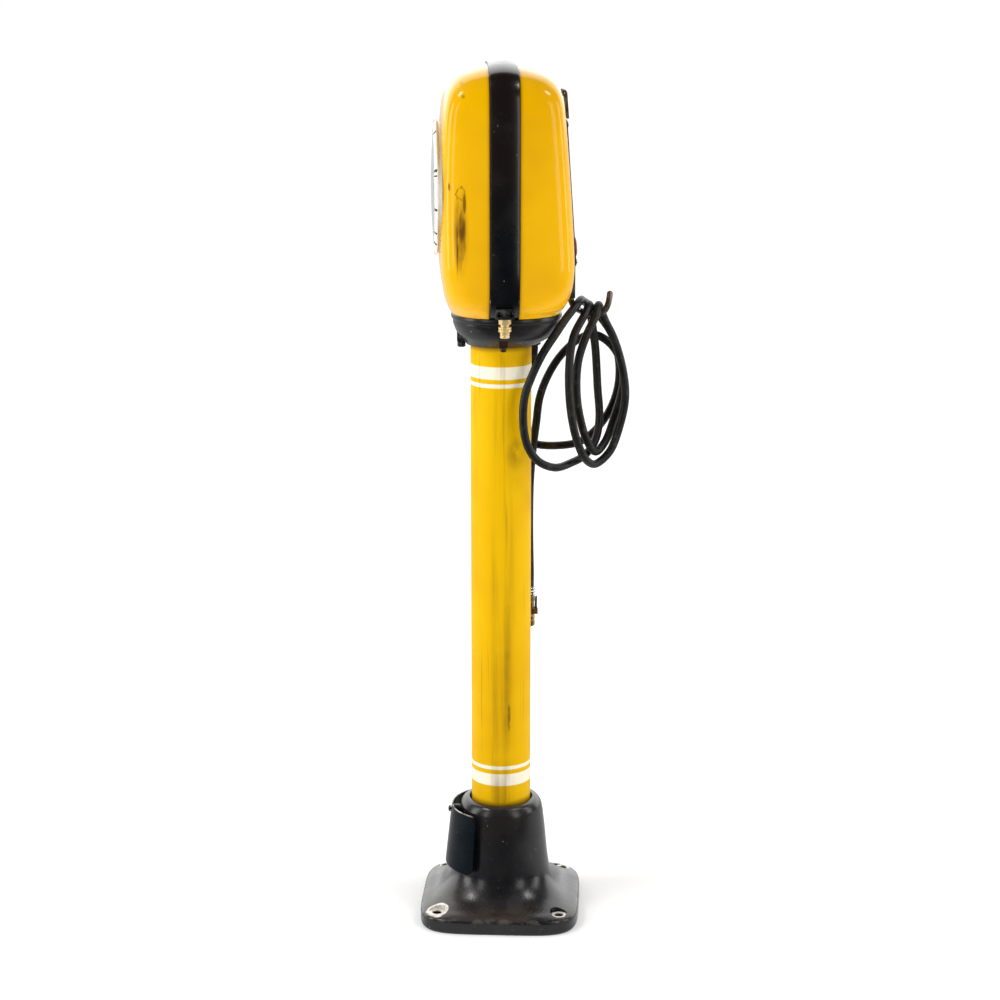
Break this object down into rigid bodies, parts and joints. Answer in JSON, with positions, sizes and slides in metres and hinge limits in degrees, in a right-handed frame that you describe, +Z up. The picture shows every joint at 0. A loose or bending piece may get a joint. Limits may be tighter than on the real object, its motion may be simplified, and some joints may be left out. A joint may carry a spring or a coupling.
{
  "type": "tyre inflator tower",
  "caption": "Free-standing air tower: cast base, round column, two-shell head with a pressure dial, hose on a hook, quick coupler.",
  "frame": {"origin": "middle of the base's underside, on the column's axis", "axes": "+Z up the column, the dial faces -Y, the operating panel and hose face +Y, the brass coupler faces +X"},
  "size_m": [0.2464, 0.3118, 1.28],
  "materials": {
    "yellow_paint": "glossy enamel, worn and scuffed",
    "band_black": "high gloss black enamel",
    "cast_black": "semi-gloss black paint over casting, chipped",
    "white_enamel": "white enamel",
    "ink_black": "matt black",
    "clear_glass": "clear domed glass",
    "brass": "turned, lightly tarnished",
    "copper": "drawn copper tube",
    "steel": "zinc plated, dull",
    "chrome": "polished",
    "hose_rubber": "smooth black rubber, dusty",
    "red_plastic": "faded red"
  },
  "bodies": {
    "tower": {"column_tube": "yellow_paint", "front_shell": "yellow_paint", "rear_shell": "yellow_paint", "centre_band": "band_black", "base_casting": "cast_black", "access_cover": "cast_black", "saddle_casting": "cast_black", "hose_gland": "cast_black", "regulator_block": "cast_black", "drain_cock": "cast_black", "coupler_bracket": "cast_black", "band_lug": "cast_black", "hook_housing": "cast_black", "dial_bezel": "white_enamel", "dial_plate": "white_enamel", "rear_panel": "ink_black", "dial_glass": "clear_glass", "inlet_union": "brass", "coupler_body": "brass", "gauge_socket": "brass", "bourdon_tube": "brass", "movement_plate": "brass", "valve_block": "brass", "hose_ferrule": "brass", "chuck_body": "brass", "supply_pipe": "copper", "hose_feed_pipe": "copper", "gauge_feed_pipe": "copper", "access_cover_screw": "steel", "column_clamp_screw": "steel", "shell_tie_rod_1": "steel", "shell_tie_rod_2": "steel", "band_screw_1": "steel", "band_screw_2": "steel", "band_screw_3": "steel", "band_screw_4": "steel", "inner_frame": "steel", "gauge_case": "steel", "sector_pin": "steel", "rear_panel_screw_1": "steel", "rear_panel_screw_2": "steel", "rear_panel_screw_3": "steel", "rear_panel_screw_4": "steel", "valve_spring": "steel", "lever_bracket": "steel", "hose_hook": "steel", "button_collar": "chrome", "lever_pin": "chrome", "chuck_lever_pin": "chrome", "inflation_hose": "hose_rubber", "chuck_seal": "hose_rubber"},
    "needle": {"gauge_needle": "ink_black", "pointer_arbor": "brass"},
    "sector": {"sector_gear": "brass"},
    "button": {"air_button": "red_plastic"},
    "lever": {"release_lever": "steel"},
    "coupler_ring": {"coupler_sleeve": "brass"},
    "regulator": {"regulator_knob": "ink_black"},
    "chuck_clip": {"chuck_lever": "chrome"}
  },
  "joints": [
    {"name": "needle_turn", "type": "hinge", "parent": "tower", "child": "needle", "pos_m": [0, -0.09, 1.1], "axis": [0, 1, 0], "range_deg": [0, 270]},
    {"name": "sector_turn", "type": "hinge", "parent": "tower", "child": "sector", "pos_m": [0, -0.09, 1.0685], "axis": [0, 1, 0], "range_deg": [-46, 0.5]},
    {"name": "air_button_press", "type": "slide", "parent": "tower", "child": "button", "axis": [0, -0.9976, -0.0698], "range_m": [0, 0.004]},
    {"name": "release_lever_swing", "type": "hinge", "parent": "tower", "child": "lever", "pos_m": [0, 0.0872, 1.232], "axis": [1, 0, 0], "range_deg": [0, 35]},
    {"name": "coupler_sleeve_slide", "type": "slide", "parent": "tower", "child": "coupler_ring", "axis": [0, 0, 1], "range_m": [0, 0.003]},
    {"name": "regulator_knob_turn", "type": "hinge", "parent": "tower", "child": "regulator", "pos_m": [0, -0.0575, 0.872], "axis": [0, 0, 1], "range_deg": [0, 330]},
    {"name": "chuck_lever_swing", "type": "hinge", "parent": "tower", "child": "chuck_clip", "pos_m": [-0.0295, 0.0542, 0.4605], "axis": [1, 0, 0], "range_deg": [-20, 0]}
  ],
  "couplings": [
    {"joint": "sector_turn", "follows": "needle_turn", "ratio": -0.16667}
  ]
}
